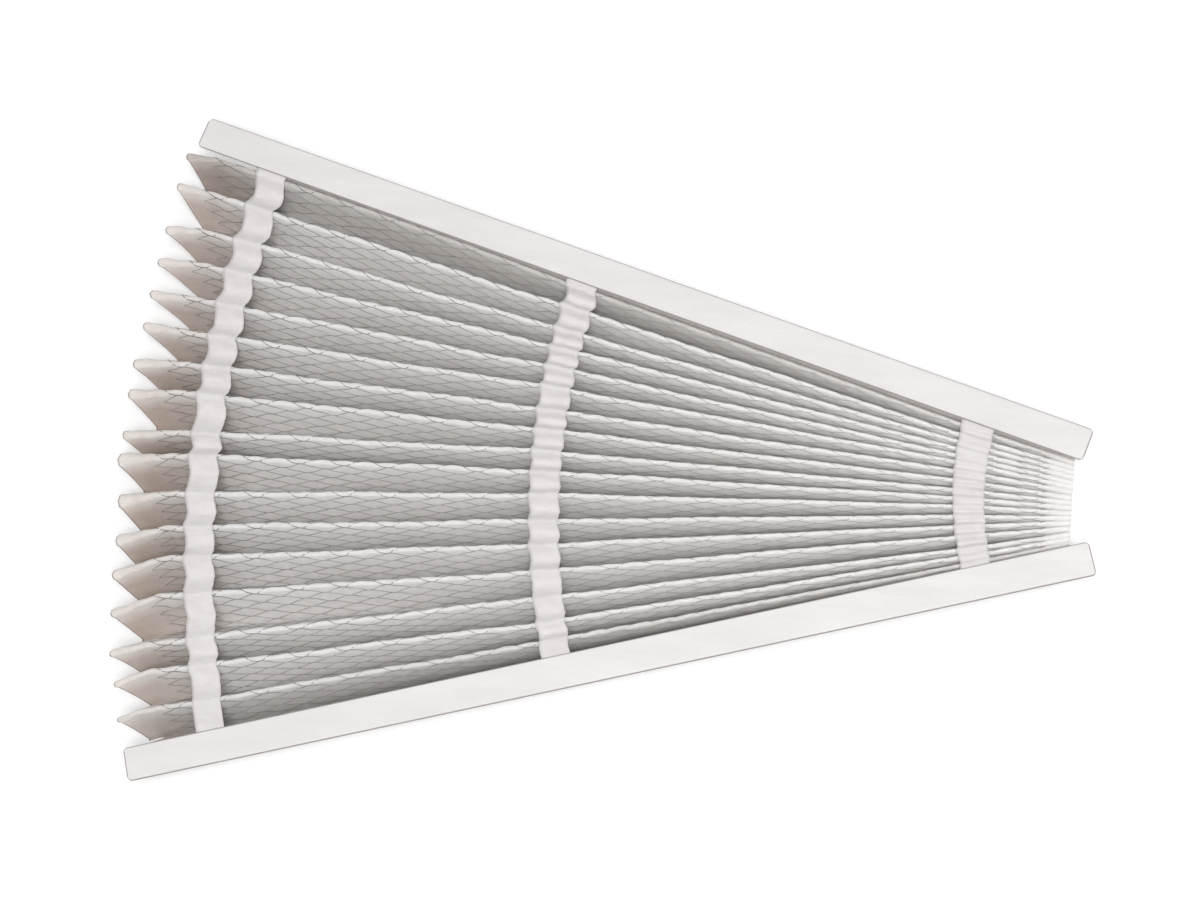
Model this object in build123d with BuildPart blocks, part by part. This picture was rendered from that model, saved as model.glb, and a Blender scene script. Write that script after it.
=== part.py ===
from build123d import *
import math
import os

os.makedirs("parts", exist_ok=True)

# Collapsible pleated air filter, opened like a hand fan: a folded media pack between two
# stiff end boards. X runs along the pleats (wide end at -X), Y across them, and Z is the
# air-flow direction, with the wire-backed face up. The pack lies on its back folds.

# ---------------------------------------------------------------- driving sizes (mm)
board_length = 635.0          # nominal 25 in side of the filter
media_short = 8.0             # the media is this much shorter than the boards
board_width = 22.0
leaf_thickness = 0.9          # paperboard, folded double over the media's flap
board_corner = 3.0
fan_half_angle = 16.6         # degrees, each end board from the centre line
fan_centre_x = 438.0          # where the lines of the fan meet
upper_board_slip = 1.5        # how far each board has slid outward along its pleat
lower_board_slip = -5.5

pleat_depth = 44.5            # nominal 2 in media, fold to fold
media_thickness = 0.8
back_fold_setback = 5.0       # the back folds stop short of the front folds at the wide end
wide_end_flatness = 150.0     # the wide end is rounded from this far past the fan centre
wide_end_offset = 16.5        # and to one side of it: the upper pleats reach further out
fold_gap = 0.075              # air left between wire and wire in the closed folds

wire_thickness = 0.3
wire_margin_wide = 23.0       # bare media beyond the wire
wire_margin_narrow = 16.0

ribbon_thickness = 0.4
ribbon_width = 19.0
ribbon_turn = 0.5             # tightest bend at the bottom of a sag
ribbon_turn_share = 0.55      # a wider gap lets it bend to this share of the free half gap
ribbon_dip = 11.0             # deepest sag of a ribbon between two folds
ribbon_slack = 5.5            # in a narrow gap the sag is the half gap squared over this
ribbon_tail = 6.0             # length tucked under an end board
ribbon_inset_wide = 58.0      # middle of the outer ribbons from the ends of the media
ribbon_inset_narrow = 63.0
ribbon_middle_shift = 24.5    # the middle ribbon sits this far towards the wide end

glue_gap = 0.05               # between layers that are bonded face to face
edge_inset = 0.6              # the last pleat turns in just behind a board's edge
flap_depth = 14.0             # media held between the leaves
upper_release = 40.0          # length over which each flap has let go of its board's wide end
lower_release = 6.0

# Spacing of the front folds where each ribbon crosses them, from the upper board's edge to
# the first fold, from fold to fold, and from the last fold to the lower board's edge.
wide_spacing = [4.0, 23.5, 25, 22.5, 23, 21.5, 21, 19, 25, 15.5, 24.5, 22, 20, 24, 29.5, 18.5, 24, 21]
middle_spacing = [3.5, 15.5, 16, 12.5, 13.5, 13.5, 15, 13.5, 14, 13.5, 15, 17, 16, 17.5, 17.5, 16.5, 13, 11]
narrow_spacing = [3.5, 6.5, 4.5, 4.5, 4, 4, 5.5, 6, 6, 5, 5, 6.5, 6.5, 6.5, 8.5, 4.5, 5.5, 2.5]
tip_hang = [6, 4, 7.5, 5, 2.5, 2, 3.5, 4.5, 4, 5.5, 7, 8.5, 11, 11, 4, 8.5, 5.5]
tip_length = 38.0             # free end of each pleat that hangs sideways by tip_hang

fold_radius_tip = 2.6         # middle of the sheet in a front fold
fold_radius_wide = 1.5
fold_radius_middle = 1.2

media_length = board_length - media_short
ribbon_places = {             # distance of each ribbon from the narrow end of the media
    "ribbon_wide_end": media_length - ribbon_inset_wide,
    "ribbon_middle": media_length / 2 + ribbon_middle_shift,
    "ribbon_narrow_end": ribbon_inset_narrow,
}

# ---------------------------------------------------------------- layers and levels
half_sheet = media_thickness / 2
wire_low = half_sheet + glue_gap
wire_high = wire_low + wire_thickness
ribbon_middle_line = wire_high + glue_gap + ribbon_thickness / 2
half_ribbon = ribbon_thickness / 2
ribbon_level = pleat_depth - half_sheet + ribbon_middle_line
leaf_under = ribbon_level + half_ribbon + glue_gap
board_top = leaf_under + leaf_thickness
flap_level = ribbon_level - half_ribbon - glue_gap - half_sheet
board_base = flap_level - half_sheet - leaf_thickness
flap_turn = media_thickness
leaf_setback = edge_inset + 2 * flap_turn

# ---------------------------------------------------------------- fan layout
fan_angle = math.radians(fan_half_angle)
edge_apex_x = fan_centre_x - board_width / 2 / math.sin(fan_angle)
pleat_count = len(tip_hang)
fold_radius_closed = wire_high + fold_gap
closed_pitch = 4 * fold_radius_closed
closed_edge = closed_pitch - edge_inset - flap_turn
closed_spacing = [closed_edge] + [closed_pitch] * (pleat_count - 1) + [closed_edge]
closed_x = edge_apex_x - sum(closed_spacing) / 2 / math.tan(fan_angle)
media_inner_radius = fan_centre_x - closed_x
media_outer_radius = media_inner_radius + media_length
ribbon_radii = {name: media_inner_radius + place for name, place in ribbon_places.items()}
wide_x, middle_x, narrow_x = (fan_centre_x - radius for radius in ribbon_radii.values())
bend_x = fan_centre_x - media_outer_radius + tip_length
tip_x = fan_centre_x - media_outer_radius - ribbon_tail


def board_edge(x):
    """Y of the inner edge of the upper board; the lower one mirrors it."""
    return (edge_apex_x - x) * math.tan(fan_angle)


def spread(x, spacing):
    """Fold positions at a station, filling the width between the two board edges."""
    width = 2 * board_edge(x)
    places, run = [], 0.0
    for step in spacing[:-1]:
        run += step
        places.append(width * (0.5 - run / sum(spacing)))
    return places


# Stations along the pleats, from the wide end to the narrow one: every fold runs straight
# from one to the next.
station_folds = {
    wide_x: (spread(wide_x, wide_spacing), fold_radius_wide),
    middle_x: (spread(middle_x, middle_spacing), fold_radius_middle),
    narrow_x: (spread(narrow_x, narrow_spacing), fold_radius_closed),
    closed_x: (spread(closed_x, closed_spacing), fold_radius_closed),
}


def folds_at(x):
    """Y of every front fold at a station, and the radius the sheet is bent to there."""
    stations = sorted(station_folds)
    index = min(max(sum(x > station for station in stations) - 1, 0), len(stations) - 2)
    x0, x1 = stations[index], stations[index + 1]
    share = (x - x0) / (x1 - x0)
    (folds0, radius0), (folds1, radius1) = station_folds[x0], station_folds[x1]
    folds = [a + (b - a) * share for a, b in zip(folds0, folds1)]
    radius = radius0 + (radius1 - radius0) * max(share, 0.0)
    if x < bend_x:
        reach = (bend_x - x) / tip_length
        folds = [fold - hang * reach for fold, hang in zip(folds, tip_hang)]
        radius += (fold_radius_tip - radius) * reach
    return folds, radius


# ---------------------------------------------------------------- folded section
# A folded strip is a chain of turns (y, z, radius, side). Side +1 bends over the top of its
# centre, -1 bends under it, and 0 is a free end. Layers bonded on the media share its chain.
def media_chain(x):
    """Flap, pleats and flap of the media, from the upper board to the lower one."""
    folds, radius = folds_at(x)
    turn_y = board_edge(x) + edge_inset + flap_turn
    end_y = board_edge(x) + flap_depth
    crests = [turn_y, *folds, -turn_y]
    chain = [(end_y, flap_level, 0, 0), (turn_y, flap_level - flap_turn, flap_turn, 1)]
    for before, after in zip(crests, crests[1:]):
        chain.append(((before + after) / 2, half_sheet + radius, radius, -1))
        chain.append((after, pleat_depth - half_sheet - radius, radius, 1))
    chain[-1] = (-turn_y, flap_level - flap_turn, flap_turn, 1)
    return chain + [(-end_y, flap_level, 0, 0)]


def ribbon_chain(x):
    """A ribbon lies over every front fold, sags between them and ends under the boards."""
    folds, fold_radius = folds_at(x)
    radius = fold_radius + ribbon_middle_line
    chain = [(board_edge(x) + ribbon_tail, ribbon_level, 0, 0)]
    for index, fold in enumerate(folds):
        if index:
            half = (folds[index - 1] - fold) / 2
            turn = max(ribbon_turn, ribbon_turn_share * (half - radius))
            dip = min(ribbon_dip, half**2 / ribbon_slack)
            chain.append((fold + half, ribbon_level - dip + turn, turn, -1))
        chain.append((fold, ribbon_level - radius, radius, 1))
    return chain + [(-board_edge(x) - ribbon_tail, ribbon_level, 0, 0)]


def outward(lean):
    """Unit vector on the front side of a strip that runs at an angle."""
    return math.sin(lean), -math.cos(lean)


def strip_line(chain, offset):
    """Lines and arcs of a strip's surface at a distance from its middle, end to end."""
    leans = []
    for (y0, z0, r0, s0), (y1, z1, r1, s1) in zip(chain, chain[1:]):
        lean = math.atan2(z1 - z0, y1 - y0)
        lean += math.asin((s0 * r0 - s1 * r1) / math.hypot(y1 - y0, z1 - z0))
        leans.append(lean % (2 * math.pi))
    leans = [leans[0], *leans, leans[-1]]

    def at(index, lean):
        y, z, radius, side = chain[index]
        reach = side * radius + offset
        across, up = outward(lean)
        return y + across * reach, z + up * reach

    for index in range(len(chain)):
        start, end = at(index, leans[index]), at(index, leans[index + 1])
        if 0 < index < len(chain) - 1:
            ThreePointArc(start, at(index, (leans[index] + leans[index + 1]) / 2), end)
        if index + 1 < len(chain):
            Line(end, at(index + 1, leans[index + 1]))
    return at(0, leans[0]), at(len(chain) - 1, leans[-1])


def strip_outline(chain, low, high):
    """Closed outline of one layer between two distances from its strip's middle."""
    high_start, high_end = strip_line(chain, high)
    low_start, low_end = strip_line(chain, low)
    Line(high_start, low_start)
    Line(high_end, low_end)


def station(x):
    """Plane across the pleats, drawn in Y and Z."""
    return Plane(origin=(x, 0, 0), x_dir=(0, 1, 0), z_dir=(1, 0, 0))


def ring(outer, inner, height):
    """Keep what lies between two radii from the fan centre, under a height."""
    with Locations((fan_centre_x, 0, 0)):
        for radius, mode in ((outer, Mode.INTERSECT), (inner, Mode.SUBTRACT)):
            Cylinder(radius, height, align=(Align.CENTER, Align.CENTER, Align.MIN), mode=mode)


wide_end_radius = media_outer_radius + wide_end_flatness
media_stations = [tip_x, (tip_x + bend_x) / 2, bend_x, wide_x, middle_x, narrow_x, closed_x]

# ---------------------------------------------------------------- pleated media
def release_x(slip, release):
    """Station up to which a flap has let go of a board that has slid by its slip."""
    board_end_radius = media_inner_radius + (media_length + board_length) / 2 + slip
    return fan_centre_x - math.cos(fan_angle) * board_end_radius + release


with BuildPart() as pleated_media:
    for x in media_stations:
        with BuildSketch(station(x)):
            with BuildLine():
                strip_outline(media_chain(x), -half_sheet, half_sheet)
            make_face()
    loft(ruled=True)
    with Locations((fan_centre_x + wide_end_flatness, wide_end_offset, 0)):
        Cone(
            wide_end_radius - back_fold_setback, wide_end_radius, board_top,
            align=(Align.CENTER, Align.CENTER, Align.MIN), mode=Mode.INTERSECT,
        )
    with BuildSketch():
        for valley, side, slip, release in (
            (2, 1, upper_board_slip, upper_release),
            (-3, -1, lower_board_slip, lower_release),
        ):
            end_x = release_x(slip, release)
            slit = [(x, media_chain(x)[valley][0]) for x in (tip_x, bend_x, wide_x, end_x) if x <= end_x]
            corner_y = side * (board_edge(tip_x) + board_width)
            with BuildLine():
                Polyline(*slit, (end_x, corner_y), (tip_x, corner_y), close=True)
            make_face()
    extrude(amount=board_top, mode=Mode.SUBTRACT)

pleated_media.part.label = "pleated_media"
export_step(pleated_media.part, "parts/pleated_media.step")

# ---------------------------------------------------------------- expanded-wire backing
wire_outer_radius = media_outer_radius - wire_margin_wide
wire_inner_radius = media_inner_radius + wire_margin_narrow


def wire_chain(x):
    """The wire follows the pleats and stops at the last turn before each board."""
    return media_chain(x)[2:-2]


with BuildPart() as wire_backing:
    for x in media_stations:
        with BuildSketch(station(x)):
            with BuildLine():
                strip_outline(wire_chain(x), wire_low, wire_high)
            make_face()
    loft(ruled=True)
    ring(wire_outer_radius, wire_inner_radius, board_top)

wire_backing.part.label = "wire_backing"
export_step(wire_backing.part, "parts/wire_backing.step")

# ---------------------------------------------------------------- fabric ribbons
for name, radius in ribbon_radii.items():
    outer, inner = radius + ribbon_width / 2, radius - ribbon_width / 2
    side_x = fan_centre_x - inner * math.cos(fan_angle) + ribbon_tail
    with BuildPart() as ribbon:
        for x in (fan_centre_x - outer - glue_gap, fan_centre_x - radius, side_x):
            with BuildSketch(station(x)):
                with BuildLine():
                    strip_outline(ribbon_chain(x), -half_ribbon, half_ribbon)
                make_face()
        loft(ruled=True)
        ring(outer, inner, board_top)

    ribbon.part.label = name
    export_step(ribbon.part, f"parts/{name}.step")

# ---------------------------------------------------------------- folded end boards
board_round = (board_top - board_base) / 2
slot_round = board_round - leaf_thickness

for name, side, slip in (("end_board_upper", 1, upper_board_slip), ("end_board_lower", -1, lower_board_slip)):
    radius = media_inner_radius + media_length / 2 + slip
    along = Vector(math.cos(fan_angle), -side * math.sin(fan_angle), 0)
    out = Vector(math.sin(fan_angle), side * math.cos(fan_angle), 0)
    middle = Vector(fan_centre_x, 0, 0) - along * radius
    edge, back = -board_width / 2, board_width / 2 - board_round
    with BuildPart() as end_board:
        with BuildSketch(Plane(origin=middle, x_dir=out, z_dir=along * side)):
            with BuildLine():
                Polyline((back, leaf_under), (edge, leaf_under), (edge, board_top), (back, board_top))
                ThreePointArc(
                    (back, board_top),
                    (back + board_round, (board_top + board_base) / 2),
                    (back, board_base),
                )
                Polyline(
                    (back, board_base),
                    (edge + leaf_setback, board_base),
                    (edge + leaf_setback, board_base + leaf_thickness),
                    (back, board_base + leaf_thickness),
                )
                ThreePointArc(
                    (back, board_base + leaf_thickness),
                    (back + slot_round, (board_top + board_base) / 2),
                    (back, leaf_under),
                )
            make_face()
        extrude(amount=board_length / 2, both=True)
        with BuildSketch(Plane(origin=middle, x_dir=along, z_dir=(0, 0, 1))):
            RectangleRounded(board_length, board_width, board_corner)
        extrude(amount=board_top, mode=Mode.INTERSECT)

    end_board.part.label = name
    export_step(end_board.part, f"parts/{name}.step")
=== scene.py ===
"""Collapsible pleated air filter, fanned open on a pale floor.

Folded nonwoven media, a skin of expanded wire on its front, three fabric ribbons and two
folded paperboard end boards. Layout values are in millimetres, in the CAD model's frame.
"""
import math

import bpy
import numpy as np
from mathutils import Matrix, Vector


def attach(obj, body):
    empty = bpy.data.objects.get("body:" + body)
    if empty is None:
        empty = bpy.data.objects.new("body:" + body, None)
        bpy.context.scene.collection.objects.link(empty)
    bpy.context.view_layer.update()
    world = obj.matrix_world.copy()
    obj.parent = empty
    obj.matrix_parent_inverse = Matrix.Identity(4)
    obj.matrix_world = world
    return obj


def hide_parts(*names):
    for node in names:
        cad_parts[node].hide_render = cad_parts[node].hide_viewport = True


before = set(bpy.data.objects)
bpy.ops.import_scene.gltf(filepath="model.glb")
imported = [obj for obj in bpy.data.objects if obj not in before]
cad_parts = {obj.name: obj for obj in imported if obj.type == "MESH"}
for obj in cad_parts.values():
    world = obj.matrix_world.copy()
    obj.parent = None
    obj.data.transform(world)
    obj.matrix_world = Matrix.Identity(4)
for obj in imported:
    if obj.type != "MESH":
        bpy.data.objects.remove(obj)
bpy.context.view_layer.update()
MM = 0.001

# ---------------------------------------------------------------- sizes shared with the CAD model
BOARD_LENGTH = 635.0
MEDIA_SHORT = 8.0             # the media is this much shorter than the boards
BOARD_WIDTH = 22.0
LEAF_THICKNESS = 0.9
BOARD_CORNER = 3.0
FAN_ANGLE = math.radians(16.6)
FAN_CENTRE_X = 438.0
BOARD_SLIPS = {"end_board_upper": 1.5, "end_board_lower": -5.5}

PLEAT_DEPTH = 44.5
MEDIA_LENGTH = BOARD_LENGTH - MEDIA_SHORT
MEDIA_THICKNESS = 0.8
WIDE_END_FLATNESS = 150.0
WIDE_END_OFFSET = 16.5
FOLD_GAP = 0.075
WIRE_THICKNESS = 0.3
WIRE_MARGIN_WIDE = 23.0
WIRE_MARGIN_NARROW = 16.0

RIBBON_THICKNESS = 0.4
RIBBON_WIDTH = 19.0
RIBBON_TURN = 0.5
RIBBON_SLACK = 5.5
RIBBON_TAIL = 6.0
RIBBON_INSET_WIDE = 58.0
RIBBON_INSET_NARROW = 63.0
RIBBON_MIDDLE_SHIFT = 24.5
RIBBON_PLACES = {
    "ribbon_wide_end": MEDIA_LENGTH - RIBBON_INSET_WIDE,
    "ribbon_middle": MEDIA_LENGTH / 2 + RIBBON_MIDDLE_SHIFT,
    "ribbon_narrow_end": RIBBON_INSET_NARROW,
}

GLUE_GAP = 0.05
EDGE_INSET = 0.6
FLAP_DEPTH = 14.0
UPPER_RELEASE, LOWER_RELEASE = 40.0, 6.0
TIP_LENGTH = 38.0
TIP_RADIUS, WIDE_RADIUS, MIDDLE_RADIUS = 2.6, 1.5, 1.2

# Front folds across the fan where each ribbon crosses them, edge to fold to fold to edge.
WIDE_SPACING = [4.0, 23.5, 25, 22.5, 23, 21.5, 21, 19, 25, 15.5, 24.5, 22, 20, 24, 29.5, 18.5, 24, 21]
MIDDLE_SPACING = [3.5, 15.5, 16, 12.5, 13.5, 13.5, 15, 13.5, 14, 13.5, 15, 17, 16, 17.5, 17.5, 16.5, 13, 11]
NARROW_SPACING = [3.5, 6.5, 4.5, 4.5, 4, 4, 5.5, 6, 6, 5, 5, 6.5, 6.5, 6.5, 8.5, 4.5, 5.5, 2.5]

# ---------------------------------------------------------------- detail of the scene's own
# How far each tip hangs sideways and reaches out, and the radius its nose opens to.
TIP_HANG = [8.5, 3.5, 8.5, 5, 2.5, 1, 3.5, 4.5, 4, 4.5, 6, 9.5, 11, 13.5, 5.5, 9.5, 8.5]
TIP_REACH = [3.5, 2.8, 2.3, 2, 2.3, 1.5, 2.8, 2.3, 2, 3, 0, 0, 1.6, 2.6, 4, 2, 1.2]
NOSE_RADII = [5, 5.4, 4.6, 4.4, 4.2, 4.2, 3.8, 4, 3.2, 5.6, 6.2, 5.2, 5, 4.6, 4, 4.2, 4.2]
NOSE_ROUND = 2.2              # the cut end of a fold is rounded off beside its crest
# How far back from the front folds each back fold stops at the wide end.
BACK_SETBACKS = [2, 0, 6, 12, 17, 16, 12, 3, 5, 1, 1, 1, 0, 2, 4, 4, 8, 5]
SETBACK_FADE = 0.8            # power by which that fades on the way up to the front folds
# Spacing of the closed folds at the narrow end, as shares of their pitch.
CLOSED_SHARES = [1.1, 0.9, 0.9, 1.15, 0.9, 0.95, 1.15, 0.95, 0.95, 1.15, 0.9, 0.9, 1.1, 1.2, 0.9, 0.9]

# Waves along a fold: size, length for one radian, and step in phase from fold to fold.
DRIFT_WAVES = [(0.6, 23.0, 2.1), (0.4, 11.5, 4.7)]
SINK_WAVES = [(0.3, 31.0, 3.3), (0.2, 13.0, 1.9)]
FOLD_WANDER = 0.55            # how far a fold strays from its line
LEAST_WANDER = 0.3            # share of that where the folds crowd
FOLD_PUFF = 0.35              # how far it swells between the strands that cross it
PUFF_STEP = 2.6
FOLD_SINK = 0.9               # and how far below its level it may lie
LEAST_SINK = 0.2              # share of that at the wide end
FIRST_FOLD_TUCK = 1.6         # the first fold runs closer to the board between two ribbons
BULGE_RADIUS = 1.2            # bare front folds swell and close up past the wire
BULGE_LENGTH = 6.0

DIAMOND_LONG = 29.6           # expanded wire, along the pleat
DIAMONDS_PER_PANEL = 3.5      # and across it: 12.7 mm each
STRAND_WIDTH = 0.5
BOND_SHARE = 0.045            # half a bond, as a share of a diamond's length
MESH_DRIFT = 0.37             # where the mesh happens to start against the first fold
WIRE_START_UPPER, WIRE_START_LOWER = 13.0, 24.0    # from the tips, at each board

RIBBON_DIP = 7.5              # deepest sag, beside the upper board
RIBBON_TAUT = 0.45            # sag beside the lower board, of the sag beside the upper one
RIBBON_EASE = 0.8             # how far the ribbon's bends round out, of what fits
RIBBON_SWAY = 1.4             # how far its sags swing inward
RIBBON_SPREAD = 2.5           # extra width beside the upper board, where the tape is pulled flat
RIBBON_RAGGED = [(0.25, 2.3), (0.2, 0.9)]    # waves of its edges: size, length for one radian
# How far out each ribbon strays from its circle, beside the lower and the upper board.
RIBBON_STRAY = {
    "ribbon_wide_end": (-2.0, 6.5),
    "ribbon_middle": (-1.5, 6.5),
    "ribbon_narrow_end": (0.5, 4.5),
}

CUT_EDGE = 1.1                # width of the dark line of painted shade along the media's cut end
BOARD_RIM = 0.7               # and along a board's edges

# ---------------------------------------------------------------- how finely it is drawn
ARC_POINTS = 5                # round a fold
PANEL_POINTS = 2              # between two folds
STATION_STEP = 2.5            # between two sections of the folds
TIP_ROWS, MEDIA_ROWS, WIRE_ROWS, RIBBON_ROWS = 17, 142, 240, 9
MEDIA_MEASURED, WIRE_MEASURED = 40, 60    # rows on which the width across the folds is taken
RIBBON_STATIONS = 30
SLOPE_POINTS = 5              # along one leg of a diamond
BOARD_SECTIONS = 60
BOARD_FOLD_POINTS = 13
CORNER_SECTIONS = 7

# ---------------------------------------------------------------- levels and stations
HALF_SHEET = MEDIA_THICKNESS / 2
WIRE_LOW = HALF_SHEET + GLUE_GAP
WIRE_HIGH = WIRE_LOW + WIRE_THICKNESS
RIBBON_OFFSET = WIRE_HIGH + GLUE_GAP + RIBBON_THICKNESS / 2
RIBBON_LEVEL = PLEAT_DEPTH - HALF_SHEET + RIBBON_OFFSET
LEAF_UNDER = RIBBON_LEVEL + RIBBON_THICKNESS / 2 + GLUE_GAP
BOARD_TOP = LEAF_UNDER + LEAF_THICKNESS
FLAP_LEVEL = RIBBON_LEVEL - RIBBON_THICKNESS / 2 - GLUE_GAP - HALF_SHEET
BOARD_BASE = FLAP_LEVEL - HALF_SHEET - LEAF_THICKNESS
FLAP_TURN = MEDIA_THICKNESS
LEAF_SETBACK = EDGE_INSET + 2 * FLAP_TURN

EDGE_APEX_X = FAN_CENTRE_X - BOARD_WIDTH / 2 / math.sin(FAN_ANGLE)
PLEATS = len(TIP_HANG)
CLOSED_RADIUS = WIRE_HIGH + FOLD_GAP
CLOSED_PITCH = 4 * CLOSED_RADIUS
CLOSED_EDGE = CLOSED_PITCH - EDGE_INSET - FLAP_TURN
CLOSED_SPACING = [CLOSED_EDGE] + [CLOSED_PITCH * share for share in CLOSED_SHARES] + [CLOSED_EDGE]
CLOSED_X = EDGE_APEX_X - sum(CLOSED_SPACING) / 2 / math.tan(FAN_ANGLE)
INNER_RADIUS = FAN_CENTRE_X - CLOSED_X
OUTER_RADIUS = INNER_RADIUS + MEDIA_LENGTH
WIDE_END_RADIUS = OUTER_RADIUS + WIDE_END_FLATNESS
WIDE_X, MIDDLE_X, NARROW_X = (FAN_CENTRE_X - INNER_RADIUS - place for place in RIBBON_PLACES.values())
BEND_X = FAN_CENTRE_X - OUTER_RADIUS + TIP_LENGTH
TIP_X = FAN_CENTRE_X - OUTER_RADIUS - RIBBON_TAIL


def release_x(slip, release):
    """Station up to which a flap has let go of a board that has slid by its slip."""
    board_end_radius = INNER_RADIUS + (MEDIA_LENGTH + BOARD_LENGTH) / 2 + slip
    return FAN_CENTRE_X - math.cos(FAN_ANGLE) * board_end_radius + release


UPPER_RELEASE_X = release_x(BOARD_SLIPS["end_board_upper"], UPPER_RELEASE)
LOWER_RELEASE_X = release_x(BOARD_SLIPS["end_board_lower"], LOWER_RELEASE)


# ---------------------------------------------------------------- fan layout
def clamp(value, low=0.0, high=1.0):
    return min(max(value, low), high)


def board_edge(x):
    """Distance from the fan's centre line to the inner edge of a board."""
    return (EDGE_APEX_X - x) * math.tan(FAN_ANGLE)


def spread(x, spacing):
    """Fold positions at a station, filling the width between the two board edges."""
    return 2 * board_edge(x) * (0.5 - np.cumsum(spacing[:-1]) / sum(spacing))


STATION_FOLDS = [
    (WIDE_X, spread(WIDE_X, WIDE_SPACING), WIDE_RADIUS),
    (MIDDLE_X, spread(MIDDLE_X, MIDDLE_SPACING), MIDDLE_RADIUS),
    (NARROW_X, spread(NARROW_X, NARROW_SPACING), CLOSED_RADIUS),
    (CLOSED_X, spread(CLOSED_X, CLOSED_SPACING), CLOSED_RADIUS),
]


def waves(x, terms):
    """Sum of waves at a station, one value for each fold."""
    fold = np.arange(PLEATS)
    return sum(size * np.sin(x / length + step * fold) for size, length, step in terms)


def wander(x):
    """Small drift of each fold along its length, dying out where the folds close up."""
    puff = np.sin(4 * math.pi * x / DIAMOND_LONG + PUFF_STEP * np.arange(PLEATS))
    room = clamp((NARROW_X - x) / (NARROW_X - MIDDLE_X), LEAST_WANDER)
    room *= clamp((CLOSED_X - x) / (CLOSED_X - NARROW_X))
    shift = room * (FOLD_WANDER * waves(x, DRIFT_WAVES) + FOLD_PUFF * puff)
    shift[0] = FIRST_FOLD_TUCK * math.sin(math.pi * clamp((x - WIDE_X) / (MIDDLE_X - WIDE_X)))
    return shift


def sink(x):
    """How far each fold lies below its level: most where the folds crowd together."""
    crowd = clamp((x - WIDE_X) / (NARROW_X - WIDE_X), LEAST_SINK)
    return FOLD_SINK * crowd * (0.5 + waves(x, SINK_WAVES))


def bulge(x):
    """Extra radius that the bare front folds have past the end of the wire."""
    start = CLOSED_X - WIRE_MARGIN_NARROW
    return (BULGE_RADIUS - CLOSED_RADIUS) * clamp((x - start) / BULGE_LENGTH)


def folds_at(x):
    """Y of every front fold at a station, and the radius the sheet is bent to there."""
    passed = sum(x > station[0] for station in STATION_FOLDS)
    index = clamp(passed - 1, 0, len(STATION_FOLDS) - 2)
    (x0, folds0, radius0), (x1, folds1, radius1) = STATION_FOLDS[index:index + 2]
    share = (x - x0) / (x1 - x0)
    folds = folds0 + (folds1 - folds0) * share + wander(x)
    radius = radius0 + (radius1 - radius0) * max(share, 0.0)
    if x < BEND_X:
        reach = (BEND_X - x) / TIP_LENGTH
        folds = folds - np.array(TIP_HANG) * reach
        radius += (TIP_RADIUS - radius) * reach
    return folds, radius


def noses(x, radius):
    """Radius of every front fold at a station, widening to its own nose at the tip."""
    reach = clamp((BEND_X - x) / TIP_LENGTH)
    return radius + (np.array(NOSE_RADII) - TIP_RADIUS) * reach**2


# ---------------------------------------------------------------- folded sections
# A chain is a row of turns (y, z, radius, side): +1 bends over its centre, -1 under, 0 is an end.
def media_chain(x):
    folds, radius = folds_at(x)
    turn_y = board_edge(x) + EDGE_INSET + FLAP_TURN
    end_y = board_edge(x) + FLAP_DEPTH
    crests = [turn_y, *folds, -turn_y]
    sinks = [*sink(x), 0.0]
    fronts = [*(noses(x, radius) + bulge(x)), FLAP_TURN]
    back = radius - bulge(x)
    chain = [(end_y, FLAP_LEVEL, 0, 0), (turn_y, FLAP_LEVEL - FLAP_TURN, FLAP_TURN, 1)]
    for before, after, low, front in zip(crests, crests[1:], sinks, fronts):
        chain.append(((before + after) / 2, HALF_SHEET + back, back, -1))
        chain.append((after, PLEAT_DEPTH - HALF_SHEET - front - low, front, 1))
    chain[-1] = (-turn_y, FLAP_LEVEL - FLAP_TURN, FLAP_TURN, 1)
    return chain + [(-end_y, FLAP_LEVEL, 0, 0)]


def deepest_sag(half, bend):
    """Sag at which two bends of this summed radius would touch, where the folds crowd."""
    return bend - math.sqrt(bend**2 - half**2) - 2 * FOLD_GAP if half < bend else RIBBON_DIP


def ribbon_chain(x):
    folds, fold_radius = folds_at(x)
    radius = fold_radius + RIBBON_OFFSET
    levels = RIBBON_LEVEL - sink(x)
    chain = [(board_edge(x) + RIBBON_TAIL, RIBBON_LEVEL, 0, 0)]
    for index, fold in enumerate(folds):
        if index:
            half = (folds[index - 1] - fold) / 2
            level = levels[index - 1:index + 1].max()
            slack = 0.5 + (fold + half) / board_edge(x) / 2
            dip = RIBBON_DIP * (RIBBON_TAUT + (1 - RIBBON_TAUT) * slack)
            dip = min(dip, half**2 / RIBBON_SLACK, deepest_sag(half, radius + RIBBON_TURN))
            turn = max(RIBBON_TURN, RIBBON_EASE * (half**2 + dip**2) / (2 * dip) - radius)
            chain.append((fold + half, level - dip + turn, turn, -1))
        chain.append((fold, levels[index] - radius, radius, 1))
    return chain + [(-board_edge(x) - RIBBON_TAIL, RIBBON_LEVEL, 0, 0)]


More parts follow.
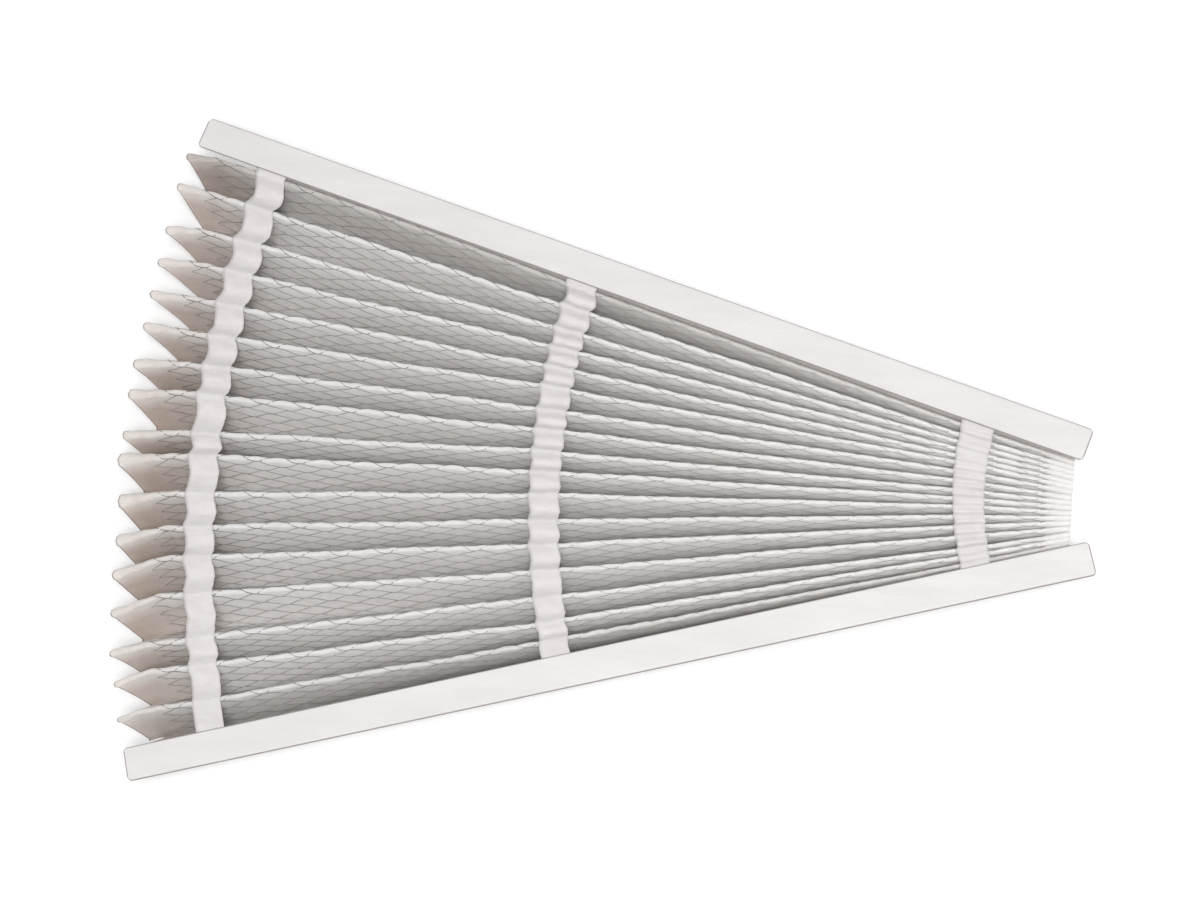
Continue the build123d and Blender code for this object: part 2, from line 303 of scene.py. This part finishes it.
def strip_section(chain):
    """Points along a strip's middle line, and the direction its front faces at each."""
    y, z, radius, side = (np.array(column, float) for column in zip(*chain))
    dy, dz = np.diff(y), np.diff(z)
    bend = np.diff(-side * radius)
    leans = (np.arctan2(dz, dy) + np.arcsin(bend / np.hypot(dy, dz))) % (2 * math.pi)
    leans = np.concatenate([leans[:1], leans, leans[-1:]])
    points, normals = [], []
    for index in range(len(chain)):
        inner = 0 < index < len(chain) - 1
        lean = np.linspace(leans[index], leans[index + 1], ARC_POINTS if inner else 1)
        normal = np.stack([np.sin(lean), -np.cos(lean)], 1)
        turn = np.array([y[index], z[index]]) + normal * side[index] * radius[index]
        if points:
            share = np.linspace(0, 1, PANEL_POINTS + 2)[1:-1, None]
            points.append(points[-1][-1] * (1 - share) + turn[0] * share)
            normals.append(np.repeat(normal[:1], PANEL_POINTS, 0))
        points.append(turn)
        normals.append(normal)
    return np.concatenate(points), np.concatenate(normals)


def strip_surface(make_chain, stations, edges, rows):
    """Rows of points, at shares of the way from an outer radius to an inner one."""
    sections = [strip_section(make_chain(x)) for x in stations]
    flat = np.array([section[0] for section in sections])
    facing = np.array([section[1] for section in sections])
    radii = np.hypot(FAN_CENTRE_X - np.array(stations)[:, None], flat[:, :, 0])
    surface = np.zeros((len(rows), flat.shape[1], 3))
    normal = np.zeros_like(surface)
    for column in range(flat.shape[1]):
        start, end = edges(column, *flat[0, column])
        end = max(end, radii[-1, column])
        wanted = start + (end - start) * rows
        x = np.interp(wanted, radii[::-1, column], stations[::-1])
        surface[:, column, 0] = x
        for axis in (0, 1):
            surface[:, column, axis + 1] = np.interp(x, stations, flat[:, column, axis])
            normal[:, column, axis + 1] = np.interp(x, stations, facing[:, column, axis])
    return surface, normal


def steps_along(line):
    """Lengths between neighbouring points of a line."""
    return np.linalg.norm(np.diff(line, axis=0), axis=1)


# ---------------------------------------------------------------- meshes
def add_piece(name, points, faces, material):
    mesh = bpy.data.meshes.new(name)
    mesh.from_pydata((np.asarray(points).reshape(-1, 3) * MM).tolist(), [], np.asarray(faces).tolist())
    mesh.validate()
    mesh.materials.append(material)
    mesh.polygons.foreach_set("use_smooth", [True] * len(mesh.polygons))
    piece = bpy.data.objects.new(name, mesh)
    bpy.context.scene.collection.objects.link(piece)
    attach(piece, "root")
    return piece


def grid_faces(rows, columns, keep=None):
    corner = np.arange(rows * columns).reshape(rows, columns)
    faces = np.stack([corner[:-1, :-1], corner[:-1, 1:], corner[1:, 1:], corner[1:, :-1]], -1)
    return faces[keep] if keep is not None else faces.reshape(-1, 4)


def mark_rim(piece, on_rim):
    """Vertex attribute along which the materials paint a dark line of shade at an edge."""
    rim = piece.data.attributes.new("rim", "FLOAT", "POINT")
    rim.data.foreach_set("value", np.asarray(on_rim, float))


def thicken(piece, thickness):
    solidify = piece.modifiers.new("thickness", "SOLIDIFY")
    solidify.thickness = thickness * MM
    solidify.offset = 0.0
    bpy.context.view_layer.objects.active = piece
    piece.select_set(True)
    bpy.ops.object.modifier_apply(modifier=solidify.name)


def sample(grid, row, column):
    """Grid values between its points, by straight lines."""
    r = np.clip(np.floor(row).astype(int), 0, grid.shape[0] - 2)
    c = np.clip(np.floor(column).astype(int), 0, grid.shape[1] - 2)
    u, v = (row - r)[:, None], (column - c)[:, None]
    near = grid[r, c] * (1 - v) + grid[r, c + 1] * v
    far = grid[r + 1, c] * (1 - v) + grid[r + 1, c + 1] * v
    return near * (1 - u) + far * u


# ---------------------------------------------------------------- node helpers
def new_material(name):
    material = bpy.data.materials.new(name)
    material.use_nodes = True
    return material, material.node_tree, material.node_tree.nodes["Principled BSDF"]


def add_node(tree, kind, **settings):
    node = tree.nodes.new(kind)
    for key, value in settings.items():
        setattr(node, key, value)
    return node


def axes_of(tree):
    """Sockets X, Y and Z of the object coordinates, in metres."""
    place = add_node(tree, "ShaderNodeTexCoord")
    split = add_node(tree, "ShaderNodeSeparateXYZ")
    tree.links.new(place.outputs["Object"], split.inputs["Vector"])
    return split.outputs


def mapped(tree, scale):
    """Object coordinates in millimetres over a scale."""
    place = add_node(tree, "ShaderNodeTexCoord")
    mapping = add_node(tree, "ShaderNodeMapping")
    mapping.inputs["Scale"].default_value = [1 / (s * MM) for s in scale]
    tree.links.new(place.outputs["Object"], mapping.inputs["Vector"])
    return mapping.outputs["Vector"]


def noise(tree, scale, detail=3.0):
    node = add_node(tree, "ShaderNodeTexNoise")
    node.inputs["Scale"].default_value = 1.0
    node.inputs["Detail"].default_value = detail
    tree.links.new(mapped(tree, scale), node.inputs["Vector"])
    return node.outputs["Fac"]


def calculate(tree, operation, first, second=None):
    """One step of arithmetic on sockets or plain numbers."""
    node = add_node(tree, "ShaderNodeMath", operation=operation)
    for socket, value in zip(node.inputs, (first, second)):
        if isinstance(value, bpy.types.NodeSocket):
            tree.links.new(value, socket)
        elif value is not None:
            socket.default_value = value
    return node.outputs["Value"]


def ranged(tree, value, start, end, low=0.0, high=1.0):
    """A value that runs from low to high while its source runs from start to end."""
    node = add_node(tree, "ShaderNodeMapRange")
    node.inputs["From Min"].default_value = start
    node.inputs["From Max"].default_value = end
    node.inputs["To Min"].default_value = low
    node.inputs["To Max"].default_value = high
    tree.links.new(value, node.inputs["Value"])
    return node.outputs["Result"]


def grey(level):
    return (level, level, level)


def blend_colours(tree, factor, low, high, start=0.3, end=0.7):
    ramp = add_node(tree, "ShaderNodeValToRGB")
    ramp.color_ramp.elements[0].position = start
    ramp.color_ramp.elements[0].color = (*low, 1)
    ramp.color_ramp.elements[1].position = end
    ramp.color_ramp.elements[1].color = (*high, 1)
    tree.links.new(factor, ramp.inputs["Fac"])
    return ramp.outputs["Color"]


def lay_over(tree, factor, under, colour):
    """A colour socket with a plain colour laid over it, as far as the factor says."""
    mix = add_node(tree, "ShaderNodeMix", data_type="RGBA")
    mix.inputs["B"].default_value = (*colour, 1)
    tree.links.new(factor, mix.inputs["Factor"])
    tree.links.new(under, mix.inputs["A"])
    return mix.outputs["Result"]


def multiply(tree, first, second):
    mix = add_node(tree, "ShaderNodeMix", data_type="RGBA", blend_type="MULTIPLY")
    mix.inputs["Factor"].default_value = 1.0
    tree.links.new(first, mix.inputs["A"])
    tree.links.new(second, mix.inputs["B"])
    return mix.outputs["Result"]


def darken_rim(tree, colour, rim_colour):
    """Colour with the rim attribute's line of painted shade laid over it."""
    rim = add_node(tree, "ShaderNodeAttribute", attribute_name="rim")
    return lay_over(tree, rim.outputs["Fac"], colour, rim_colour)


def bumps(tree, shader, layers):
    """Chain of bumps, each a height and its depth in millimetres."""
    normal = None
    for height, depth in layers:
        bump = add_node(tree, "ShaderNodeBump")
        bump.inputs["Strength"].default_value = 1.0
        bump.inputs["Distance"].default_value = depth * MM
        tree.links.new(height, bump.inputs["Height"])
        if normal:
            tree.links.new(normal, bump.inputs["Normal"])
        normal = bump.outputs["Normal"]
    tree.links.new(normal, shader.inputs["Normal"])


def board_nearness(tree, axes):
    """0 along the middle of the fan, 1 along both board edges."""
    apart = calculate(tree, "SUBTRACT", EDGE_APEX_X * MM, axes["X"])
    edge = calculate(tree, "MULTIPLY", math.tan(FAN_ANGLE), apart)
    return calculate(tree, "ABSOLUTE", calculate(tree, "DIVIDE", axes["Y"], edge))


# ---------------------------------------------------------------- materials
WHITE = grey(1)

MEDIA_WHITE = (0.96, 0.93, 0.91)
MEDIA_BARE_PAINTED_SHADE = (0.60, 0.505, 0.445)     # open ends of the pleats, creamier, painted darker down their sides as shade
MEDIA_BARE_PAINTED_LIGHT = (0.80, 0.735, 0.69)     # and painted lighter along their crests, where light falls
MEDIA_BY_BOARD = (0.66, 0.65, 0.64)        # painted shade beside the boards
MEDIA_EDGE_SHADE = (0.11, 0.075, 0.055)           # painted shade: a dark line along the cut end of the sheet
MEDIA_MOTTLE, MEDIA_FIBRE = 0.93, 0.86     # darkest spots of each
FADE_LENGTH = 4               # wire margins from the tips, by which the creamy ends have faded
PAINTED_GLOW = 0.06                   # painted light: a faint glow, standing in for light that comes through the thin sheet where its folds crowd
SCATTER_DEPTH = 3.0

WIRE_DULL, WIRE_WORN = (0.36, 0.34, 0.32), (0.64, 0.62, 0.60)
WIRE_PAINTED_CREST_SHADE = (0.30, 0.28, 0.27)         # painted shade, darker where it bends over a crest
WIRE_PAINTED_LIGHT = grey(0.85)                    # and painted light, lighter towards the narrow end
WIRE_PAINTED_LIGHT_SHARE = 0.6

TAPE_DARK, TAPE_LIGHT = (0.70, 0.668, 0.66), (0.77, 0.74, 0.732)
TAPE_YARN, TAPE_GROOVE = 1.6, 0.92         # spacing of the yarns, and the shade between them

CARD_DARK, CARD_LIGHT = (0.735, 0.71, 0.707), (0.785, 0.76, 0.757)
CARD_FLECK = 0.95
# painted shade: a dark line along a board's cut edge, its folded edge and its ends
CARD_EDGE_SHADE = (0.30, 0.27, 0.26)


def media_material():
    """Matte nonwoven: short fibres over a faint mottle, creamier at the open ends of the pleats, with
    painted shade and light on those ends, painted shade beside the boards and along the cut end, and a
    faint painted glow.
    """
    material, tree, shader = new_material("nonwoven_media")
    axes = axes_of(tree)
    fade_start = TIP_X + WIRE_MARGIN_WIDE
    fade_end = TIP_X + FADE_LENGTH * WIRE_MARGIN_WIDE
    along = ranged(tree, axes["X"], fade_start * MM, fade_end * MM)
    height = ranged(tree, axes["Z"], PLEAT_DEPTH / 2 * MM, PLEAT_DEPTH * MM)
    # Painted shade and light: the bare ends darker down their sides, lighter along their crests.
    bare = blend_colours(tree, height, MEDIA_BARE_PAINTED_SHADE, MEDIA_BARE_PAINTED_LIGHT, 0.2, 0.95)
    base = lay_over(tree, along, bare, MEDIA_WHITE)
    mottle = blend_colours(tree, noise(tree, (9, 9, 9)), grey(MEDIA_MOTTLE), WHITE)
    fibres = noise(tree, (6, 0.6, 0.9), 4.0)
    threads = blend_colours(tree, fibres, grey(MEDIA_FIBRE), WHITE)
    colour = multiply(tree, multiply(tree, base, mottle), threads)
    shade = blend_colours(tree, board_nearness(tree, axes), WHITE, MEDIA_BY_BOARD, 0.86, 0.97)
    colour = multiply(tree, colour, shade)
    # Painted shade: a dark line along the sheet's cut end.
    tree.links.new(darken_rim(tree, colour, MEDIA_EDGE_SHADE), shader.inputs["Base Color"])
    shader.inputs["Roughness"].default_value = 0.92
    shader.inputs["Sheen Weight"].default_value = 0.15
    # Painted light: the sheet glows faintly, more towards the narrow end and up the folds.
    painted_glow_strength = ranged(tree, axes["X"], TIP_X * MM, NARROW_X * MM / 2, 0.0, PAINTED_GLOW)
    tree.links.new(calculate(tree, "MULTIPLY", painted_glow_strength, height), shader.inputs["Emission Strength"])
    tree.links.new(colour, shader.inputs["Emission Color"])
    shader.inputs["Subsurface Weight"].default_value = 1.0
    shader.inputs["Subsurface Radius"].default_value = (1.0, 1.0, 1.0)
    shader.inputs["Subsurface Scale"].default_value = SCATTER_DEPTH * MM
    bumps(tree, shader, [(noise(tree, (14, 6, 6), 2.0), 0.5), (fibres, 0.10)])
    return material


def wire_material():
    """Flattened expanded metal, dull grey with brighter worn spots, painted darker over the crests as shade
    and lighter towards the narrow end as painted light.
    """
    material, tree, shader = new_material("expanded_wire")
    tone = noise(tree, (5, 5, 5))
    metal = blend_colours(tree, tone, WIRE_DULL, WIRE_WORN)
    axes = axes_of(tree)
    height = calculate(tree, "DIVIDE", axes["Z"], PLEAT_DEPTH * MM)
    # Painted shade where the wire bends over a crest.
    painted_crest_shade = blend_colours(tree, height, WHITE, WIRE_PAINTED_CREST_SHADE, 0.88, 0.98)
    # Painted light: lighter towards the narrow end.
    along = ranged(tree, axes["X"], WIDE_X * MM, NARROW_X * MM / 2, 0.0, WIRE_PAINTED_LIGHT_SHARE)
    colour = lay_over(tree, along, multiply(tree, metal, painted_crest_shade), WIRE_PAINTED_LIGHT)
    tree.links.new(colour, shader.inputs["Base Color"])
    shader.inputs["Metallic"].default_value = 0.6
    tree.links.new(ranged(tree, tone, 0.0, 1.0, 0.28, 0.5), shader.inputs["Roughness"])
    bumps(tree, shader, [(noise(tree, (0.4, 0.4, 0.4)), 0.02)])
    return material


def ribbon_material():
    """Plain woven tape: fine crossing yarns and a few soft wrinkles."""
    material, tree, shader = new_material("woven_tape")
    yarns = []
    for direction in ("X", "Y"):
        wave = add_node(tree, "ShaderNodeTexWave", bands_direction=direction)
        wave.inputs["Scale"].default_value = 1.0
        tree.links.new(mapped(tree, (TAPE_YARN, TAPE_YARN, TAPE_YARN)), wave.inputs["Vector"])
        yarns.append(wave.outputs["Fac"])
    weave = calculate(tree, "MAXIMUM", *yarns)
    tint = blend_colours(tree, noise(tree, (12, 5, 8)), TAPE_DARK, TAPE_LIGHT)
    threads = blend_colours(tree, weave, grey(TAPE_GROOVE), WHITE, 0.2, 0.8)
    tree.links.new(multiply(tree, tint, threads), shader.inputs["Base Color"])
    shader.inputs["Roughness"].default_value = 0.8
    shader.inputs["Sheen Weight"].default_value = 0.25
    bumps(tree, shader, [(noise(tree, (7, 3.5, 5), 2.0), 0.6), (weave, 0.06)])
    return material


def board_material():
    """Smooth white paperboard with a faint fibre grain and soft mottle."""
    material, tree, shader = new_material("white_paperboard")
    mottle = blend_colours(tree, noise(tree, (60, 14, 14)), CARD_DARK, CARD_LIGHT)
    grain = noise(tree, (2.2, 0.5, 0.5), 4.0)
    flecks = blend_colours(tree, grain, grey(CARD_FLECK), WHITE)
    # Painted shade along the board's edges.
    colour = darken_rim(tree, multiply(tree, mottle, flecks), CARD_EDGE_SHADE)
    tree.links.new(colour, shader.inputs["Base Color"])
    shader.inputs["Roughness"].default_value = 0.5
    bumps(tree, shader, [(noise(tree, (45, 9, 9), 2.0), 0.5), (grain, 0.03)])
    return material


# ---------------------------------------------------------------- pleated media
MEDIA_STATIONS = list(np.arange(TIP_X, CLOSED_X, STATION_STEP)) + [CLOSED_X]
TURN_STEP = ARC_POINTS + PANEL_POINTS      # columns of points from one fold to the next
FIRST_VALLEY = 1 + PANEL_POINTS + TURN_STEP + ARC_POINTS // 2
VALLEYS = FIRST_VALLEY + 2 * TURN_STEP * np.arange(PLEATS + 1)
CRESTS = VALLEYS[:-1] + TURN_STEP


def media_edges(column, y, z):
    """Radii at which the media ends: its wide side is flatter than the fan's circle."""
    setback = np.interp(column, VALLEYS, BACK_SETBACKS) * (1 - z / BOARD_TOP) ** SETBACK_FADE
    setback += NOSE_ROUND * min((PLEAT_DEPTH - z) / np.interp(column, CRESTS, NOSE_RADII), 1.0)
    setback -= np.interp(column, CRESTS, TIP_REACH) * z / PLEAT_DEPTH
    turn = math.asin(y / OUTER_RADIUS)
    aside = WIDE_END_FLATNESS * math.cos(turn) - WIDE_END_OFFSET * math.sin(turn)
    off = math.hypot(WIDE_END_FLATNESS, WIDE_END_OFFSET)
    return math.sqrt(WIDE_END_RADIUS**2 - off**2 + aside**2) - aside - setback, 0.0


def build_media():
    near = np.linspace(CUT_EDGE, TIP_LENGTH, TIP_ROWS)[:-1] / MEDIA_LENGTH
    rows = np.concatenate([[0], near, np.linspace(TIP_LENGTH / MEDIA_LENGTH, 1, MEDIA_ROWS)])
    surface, _ = strip_surface(media_chain, MEDIA_STATIONS, media_edges, rows)
    columns = np.arange(surface.shape[1] - 1)
    keep = (columns[None, :] >= VALLEYS[0]) | (surface[:-1, :1, 0] > UPPER_RELEASE_X)
    keep &= (columns[None, :] < VALLEYS[-1]) | (surface[:-1, -1:, 0] > LOWER_RELEASE_X)
    faces = grid_faces(*surface.shape[:2], keep)
    piece = add_piece("media_sheet", surface, faces, media_material())
    mark_rim(piece, np.arange(surface.shape[0] * surface.shape[1]) < surface.shape[1])
    thicken(piece, MEDIA_THICKNESS)
    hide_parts("pleated_media")


# ---------------------------------------------------------------- expanded wire
def strand_wave():
    """One diamond of a strand: phase along it, and its sway between two rows of bonds."""
    slope = np.linspace(BOND_SHARE, 0.5 - BOND_SHARE, SLOPE_POINTS)
    sway = np.linspace(1, -1, SLOPE_POINTS)
    return np.concatenate([slope, slope + 0.5]), np.concatenate([sway, -sway])


def wire_edges(column, y, z):
    """Radii at which the wire ends, nearer the tips at the upper board."""
    share = 0.5 - y / board_edge(TIP_X) / 2
    start = WIRE_START_UPPER + (WIRE_START_LOWER - WIRE_START_UPPER) * share
    outer, inner = media_edges(column, y, z)
    return outer - start, inner


def build_wire():
    rows = np.linspace(0, 1 - WIRE_MARGIN_NARROW / MEDIA_LENGTH, WIRE_ROWS)
    surface, normal = strip_surface(media_chain, MEDIA_STATIONS, wire_edges, rows)
    run = np.concatenate([[0], np.cumsum(steps_along(surface[WIRE_MEASURED]))])
    fold_columns = FIRST_VALLEY + TURN_STEP * np.arange(2 * PLEATS + 1)
    bonds_per_panel = 2 * DIAMONDS_PER_PANEL
    rows_across = int(2 * PLEATS * bonds_per_panel)
    fold_rows = bonds_per_panel * np.arange(2 * PLEATS + 1)

    phases, sways = strand_wave()
    covered = MEDIA_LENGTH - WIRE_MARGIN_WIDE - WIRE_MARGIN_NARROW
    diamonds = int(covered / DIAMOND_LONG) + 2
    along = (np.arange(diamonds)[:, None] + phases).ravel() * DIAMOND_LONG
    sway = np.tile(sways, diamonds)
    points, faces, start = [], [], 0
    for row in range(1, rows_across):
        place = along - (row % 2) / 2 * DIAMOND_LONG
        inside = (place >= 0) & (place <= covered)
        across = np.clip(row + MESH_DRIFT - 0.5 + sway[inside] / 2, 0, rows_across)
        column = np.interp(np.interp(across, fold_rows, run[fold_columns]), run, np.arange(len(run)))
        line = place[inside] / covered * (len(rows) - 1)
        centre, facing = sample(surface, line, column), sample(normal, line, column)
        facing /= np.linalg.norm(facing, axis=1)[:, None]
        aside = np.cross(facing, np.gradient(centre, axis=0))
        aside *= STRAND_WIDTH / 2 / np.linalg.norm(aside, axis=1)[:, None]
        low, high = centre + facing * WIRE_LOW, centre + facing * WIRE_HIGH
        strand = np.stack([low - aside, high, low + aside], 1)
        faces.append(start + grid_faces(len(centre), 3))
        points.append(strand.reshape(-1, 3))
        start += len(points[-1])
    piece = add_piece("wire_mesh", np.concatenate(points), np.concatenate(faces), wire_material())
    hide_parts("wire_backing")


# ---------------------------------------------------------------- ribbons
def build_ribbon(name, place, material):
    radius = INNER_RADIUS + place
    outer, inner = radius + RIBBON_WIDTH / 2, radius - RIBBON_WIDTH / 2
    lower, upper = RIBBON_STRAY[name]
    side_x = FAN_CENTRE_X - (inner + lower) * math.cos(FAN_ANGLE) + RIBBON_TAIL
    stations = list(np.linspace(FAN_CENTRE_X - outer - upper - RIBBON_SPREAD, side_x, RIBBON_STATIONS))

    def edges(column, y, z):
        share = 0.5 + y / board_edge(FAN_CENTRE_X - radius) / 2
        stray = lower + (upper - lower) * share - RIBBON_SWAY * (RIBBON_LEVEL - z) / RIBBON_DIP
        ragged = sum(size * math.sin(y / length) for size, length in RIBBON_RAGGED)
        wider = RIBBON_SPREAD / 2 * share
        return outer + stray + wider + ragged, inner + stray - wider + ragged

    surface, _ = strip_surface(ribbon_chain, stations, edges, np.linspace(0, 1, RIBBON_ROWS))
    piece = add_piece(name + "_tape", surface, grid_faces(*surface.shape[:2]), material)
    thicken(piece, RIBBON_THICKNESS)
    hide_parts(name)


# ---------------------------------------------------------------- end boards
def leaf_outline():
    """Section of an end board: a leaf folded double over the media's flap, cut edges eased."""
    edge = -BOARD_WIDTH / 2
    fold_round = (BOARD_TOP - BOARD_BASE) / 2
    slot_round = fold_round - LEAF_THICKNESS
    back = BOARD_WIDTH / 2 - fold_round
    middle = (BOARD_TOP + BOARD_BASE) / 2
    ease = LEAF_THICKNESS / 4
    turn = np.linspace(math.pi / 2, -math.pi / 2, BOARD_FOLD_POINTS)
    fold = [(back + fold_round * math.cos(a), middle + fold_round * math.sin(a)) for a in turn]
    slot = [(back + slot_round * math.cos(a), middle + slot_round * math.sin(a)) for a in turn[::-1]]
    tuck = edge + LEAF_SETBACK
    lower_top = BOARD_BASE + LEAF_THICKNESS
    return [
        (edge, LEAF_UNDER + ease), (edge, BOARD_TOP - ease), (edge + ease, BOARD_TOP),
        (edge + ease + BOARD_RIM, BOARD_TOP), (back - BOARD_RIM, BOARD_TOP), *fold,
        (tuck + ease, BOARD_BASE), (tuck, BOARD_BASE + ease), (tuck, lower_top - ease),
        (tuck + ease, lower_top), *slot, (edge + ease, LEAF_UNDER),
    ]


def corner_pull(distance):
    """How far a board's edge draws in near its rounded corner."""
    gap = max(BOARD_CORNER - distance, 0.0)
    return BOARD_CORNER - math.sqrt(max(BOARD_CORNER**2 - gap**2, 0.0))


def build_board(name, slip, material):
    side = 1 if "upper" in name else -1
    radius = INNER_RADIUS + MEDIA_LENGTH / 2 + slip
    along = np.array([math.cos(FAN_ANGLE), -side * math.sin(FAN_ANGLE)])
    out = np.array([math.sin(FAN_ANGLE), side * math.cos(FAN_ANGLE)])
    middle = np.array([FAN_CENTRE_X, 0]) - along * radius
    outline = np.array(leaf_outline())
    near = BOARD_CORNER * (1 - np.cos(np.linspace(0, math.pi / 2, CORNER_SECTIONS)))
    between = np.linspace(BOARD_CORNER, BOARD_LENGTH - BOARD_CORNER, BOARD_SECTIONS)[1:-1]
    places = np.concatenate([near, between, BOARD_LENGTH - near[::-1]])
    points = []
    for place in places:
        pull = corner_pull(min(place, BOARD_LENGTH - place))
        across = outline[:, 0] * (1 - pull / (BOARD_WIDTH / 2))
        plan = middle + (place - BOARD_LENGTH / 2) * along + across[:, None] * out
        points.append(np.column_stack([plan, outline[:, 1]]))

    count = len(outline)
    ring = np.arange(count)
    faces = [
        (row * count + i, row * count + j, (row + 1) * count + j, (row + 1) * count + i)
        for row in range(len(places) - 1) for i, j in zip(ring, np.roll(ring, -1))
    ]
    faces += [tuple(ring[::-1]), tuple((len(places) - 1) * count + ring)]
    if side < 0:
        faces = [face[::-1] for face in faces]
    mesh = bpy.data.meshes.new(name + "_card")
    mesh.from_pydata((np.concatenate(points) * MM).tolist(), [], [tuple(int(i) for i in f) for f in faces])
    mesh.materials.append(material)
    mesh.polygons.foreach_set("use_smooth", [True] * len(mesh.polygons))
    mesh.set_sharp_from_angle(angle=math.radians(40))

    piece = bpy.data.objects.new(name + "_card", mesh)
    # The rim of painted shade runs along the cut edge, the folded edge and both ends.
    cut_edge = outline[:, 0] <= -BOARD_WIDTH / 2 + LEAF_THICKNESS / 2
    folded_edge = outline[:, 0] > BOARD_WIDTH / 2 - (BOARD_TOP - BOARD_BASE) / 4
    at_end = np.minimum(places, BOARD_LENGTH - places) < BOARD_RIM
    mark_rim(piece, (at_end[:, None] | (cut_edge | folded_edge)[None, :]).ravel())
    bpy.context.scene.collection.objects.link(piece)
    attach(piece, "root")
    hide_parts(name)


# ---------------------------------------------------------------- floor, light and camera
PHOTO_WIDTH = 1200
FOCAL_PIXELS = 2576.26
CAMERA_PLACE = Vector((251.3, -359.7, 1664.5))
CAMERA_RIGHT = Vector((0.98660, 0.09777, -0.13060))
CAMERA_UP = Vector((-0.06520, 0.97012, 0.23371))
CAMERA_FORWARD = Vector((-0.14955, 0.22206, -0.96349))
SENSOR = 36.0

# Metres and watts.
FLOOR_HALF = 6.0
FLOOR_LIFT = 0.14             # brings the floor up to white where it is seen, also in reflections
WORLD_STRENGTH = 0.40
KEY_PLACE, KEY_SIZE, KEY_POWER = (0.9, 1.0, 2.4), 1.8, 6
FLASH_DISTANCE = 2            # behind the camera, at this many times its distance
FLASH_SIZE, FLASH_POWER = 1.0, 80


def build_floor():
    mesh = bpy.data.meshes.new("floor")
    corners = [(x * FLOOR_HALF, y * FLOOR_HALF, 0) for x, y in ((-1, -1), (1, -1), (1, 1), (-1, 1))]
    mesh.from_pydata(corners, [], [(0, 1, 2, 3)])
    material, tree, shader = new_material("pale_floor")
    tint = blend_colours(tree, noise(tree, (400, 400, 400)), grey(0.90), grey(0.91))
    tree.links.new(tint, shader.inputs["Base Color"])
    tree.links.new(tint, shader.inputs["Emission Color"])
    rays = add_node(tree, "ShaderNodeLightPath")
    seen = calculate(tree, "MAXIMUM", rays.outputs["Is Camera Ray"], rays.outputs["Is Glossy Ray"])
    seen = calculate(tree, "MAXIMUM", seen, rays.outputs["Is Transmission Ray"])
    tree.links.new(calculate(tree, "MULTIPLY", seen, FLOOR_LIFT), shader.inputs["Emission Strength"])
    shader.inputs["Roughness"].default_value = 0.9
    mesh.materials.append(material)
    floor = bpy.data.objects.new("floor", mesh)
    bpy.context.scene.collection.objects.link(floor)


def add_area_light(name, place, size, power):
    """Square lamp that points at the origin."""
    data = bpy.data.lights.new(name, "AREA")
    data.size = size
    data.energy = power
    light = bpy.data.objects.new(name, data)
    light.location = place
    light.rotation_euler = (-Vector(place)).to_track_quat("-Z", "Y").to_euler()
    bpy.context.scene.collection.objects.link(light)


def build_lights():
    world = bpy.data.worlds.new("studio")
    bpy.context.scene.world = world
    world.use_nodes = True
    background = world.node_tree.nodes["Background"]
    background.inputs["Color"].default_value = (1, 1, 1, 1)
    background.inputs["Strength"].default_value = WORLD_STRENGTH
    add_area_light("key", KEY_PLACE, KEY_SIZE, KEY_POWER)
    add_area_light("flash", CAMERA_PLACE * MM * FLASH_DISTANCE, FLASH_SIZE, FLASH_POWER)


def build_camera():
    data = bpy.data.cameras.new("camera")
    data.sensor_width = SENSOR
    data.lens = SENSOR * FOCAL_PIXELS / PHOTO_WIDTH
    data.dof.use_dof = False
    camera = bpy.data.objects.new("camera", data)
    turn = Matrix((CAMERA_RIGHT, CAMERA_UP, -CAMERA_FORWARD)).transposed()
    camera.matrix_world = Matrix.Translation(CAMERA_PLACE * MM) @ turn.to_4x4()
    bpy.context.scene.collection.objects.link(camera)
    bpy.context.scene.camera = camera


# ---------------------------------------------------------------- the scene
build_camera()
build_media()
build_wire()
tape = ribbon_material()
for ribbon_name, ribbon_place in RIBBON_PLACES.items():
    build_ribbon(ribbon_name, ribbon_place, tape)
card = board_material()
for board_name, board_slip in BOARD_SLIPS.items():
    build_board(board_name, board_slip, card)
build_floor()
build_lights()

view_settings = bpy.context.scene.view_settings
view_settings.view_transform = "Standard"
